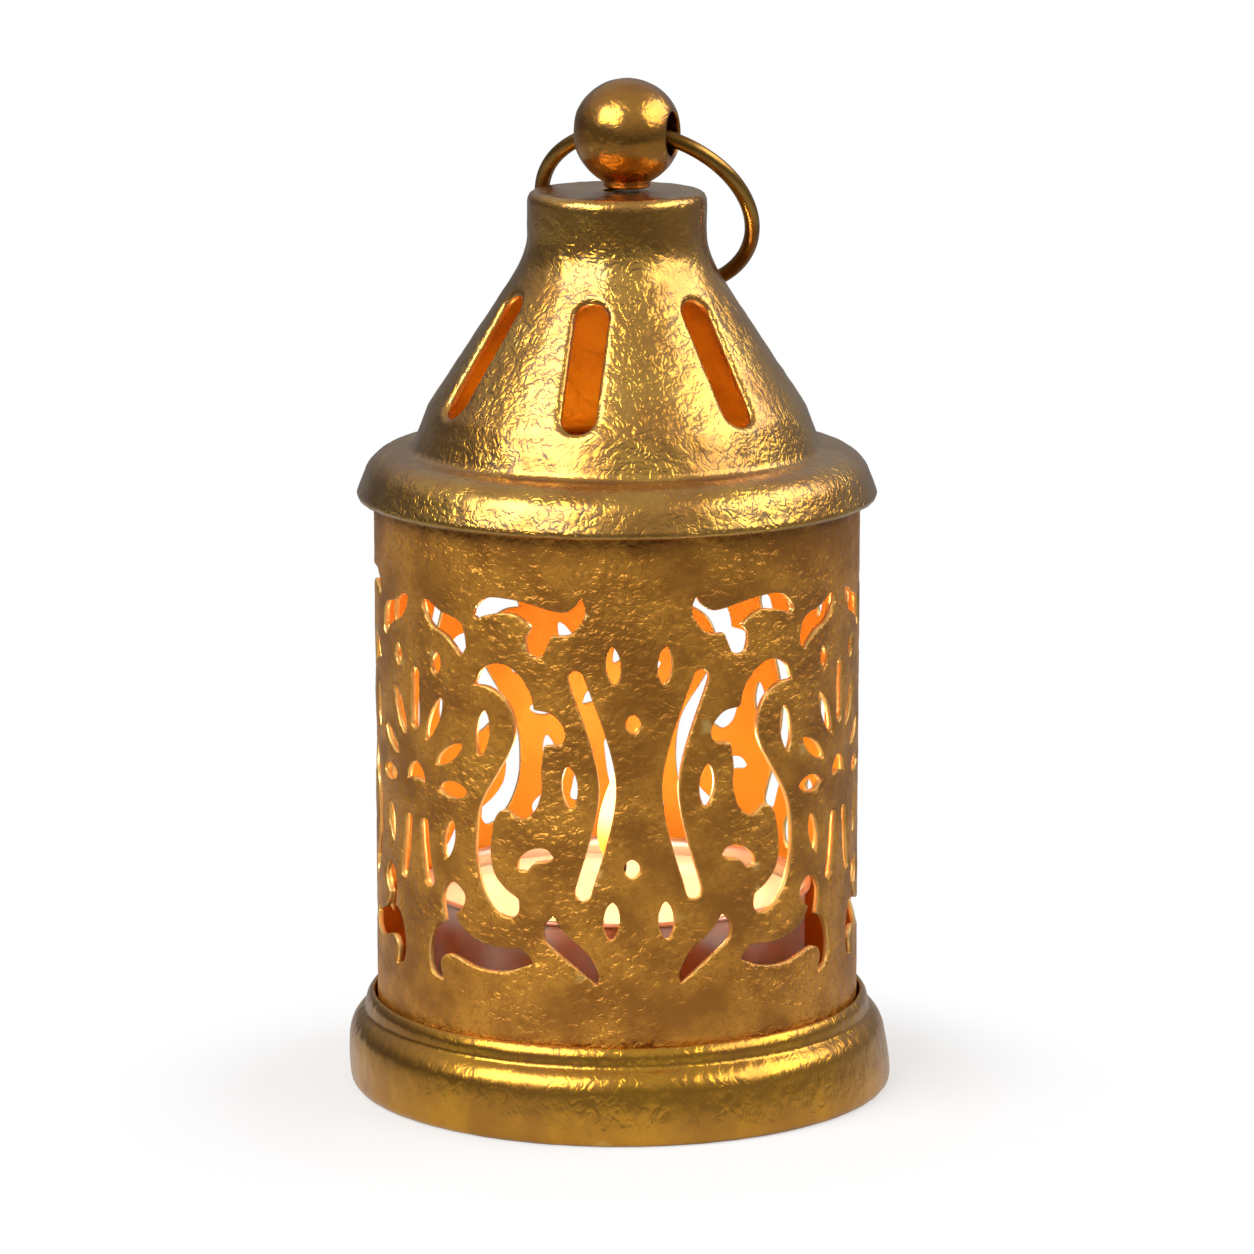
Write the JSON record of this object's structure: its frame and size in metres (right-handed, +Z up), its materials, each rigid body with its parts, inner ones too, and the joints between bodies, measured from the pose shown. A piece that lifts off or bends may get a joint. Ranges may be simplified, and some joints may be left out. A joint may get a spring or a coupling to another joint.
{
  "type": "tealight lantern",
  "caption": "Pierced sheet-metal tealight lantern: a round sleeve in a dish base, a slotted cone roof with a ball and a carrying ring, and a tealight inside.",
  "frame": {"origin": "centre of the base's foot, on the surface that the lantern stands on", "axes": "+Z up along the lantern's axis, -Y towards the front, +X to the right seen from the front"},
  "size_m": [0.0542, 0.0542, 0.1003],
  "materials": {
    "gold_paint": "gold lacquer over beaten sheet, satin gloss",
    "dark_gold_paint": "gold lacquer, browner and hammered",
    "ring_brass": "drawn wire, polished",
    "screw_steel": "zinc-plated, satin",
    "cup_aluminium": "thin drawn sheet, bright",
    "wax": "cream wax, soft sheen",
    "wick_cotton": "braided cotton, burnt at its tip"
  },
  "bodies": {
    "base": {"base": "gold_paint"},
    "upper": {"pierced_sleeve": "dark_gold_paint", "cap": "gold_paint", "finial_ball": "gold_paint", "finial_screw": "screw_steel"},
    "ring": {"carrying_ring": "ring_brass"},
    "tealight": {"candle_cup": "cup_aluminium", "candle_wax": "wax", "wick_sustainer": "screw_steel", "candle_wick": "wick_cotton"}
  },
  "joints": [
    {"name": "upper_lift", "type": "slide", "parent": "base", "child": "upper", "axis": [0, 0, 1], "range_m": [0, 0.06]},
    {"name": "tealight_lift", "type": "slide", "parent": "base", "child": "tealight", "axis": [0, 0, 1], "range_m": [0, 0.03]},
    {"name": "ring_swing", "type": "hinge", "parent": "upper", "child": "ring", "pos_m": [0.001, 0, 0.09498], "axis": [0.9527, -0.304, 0], "range_deg": [0, 282]}
  ]
}
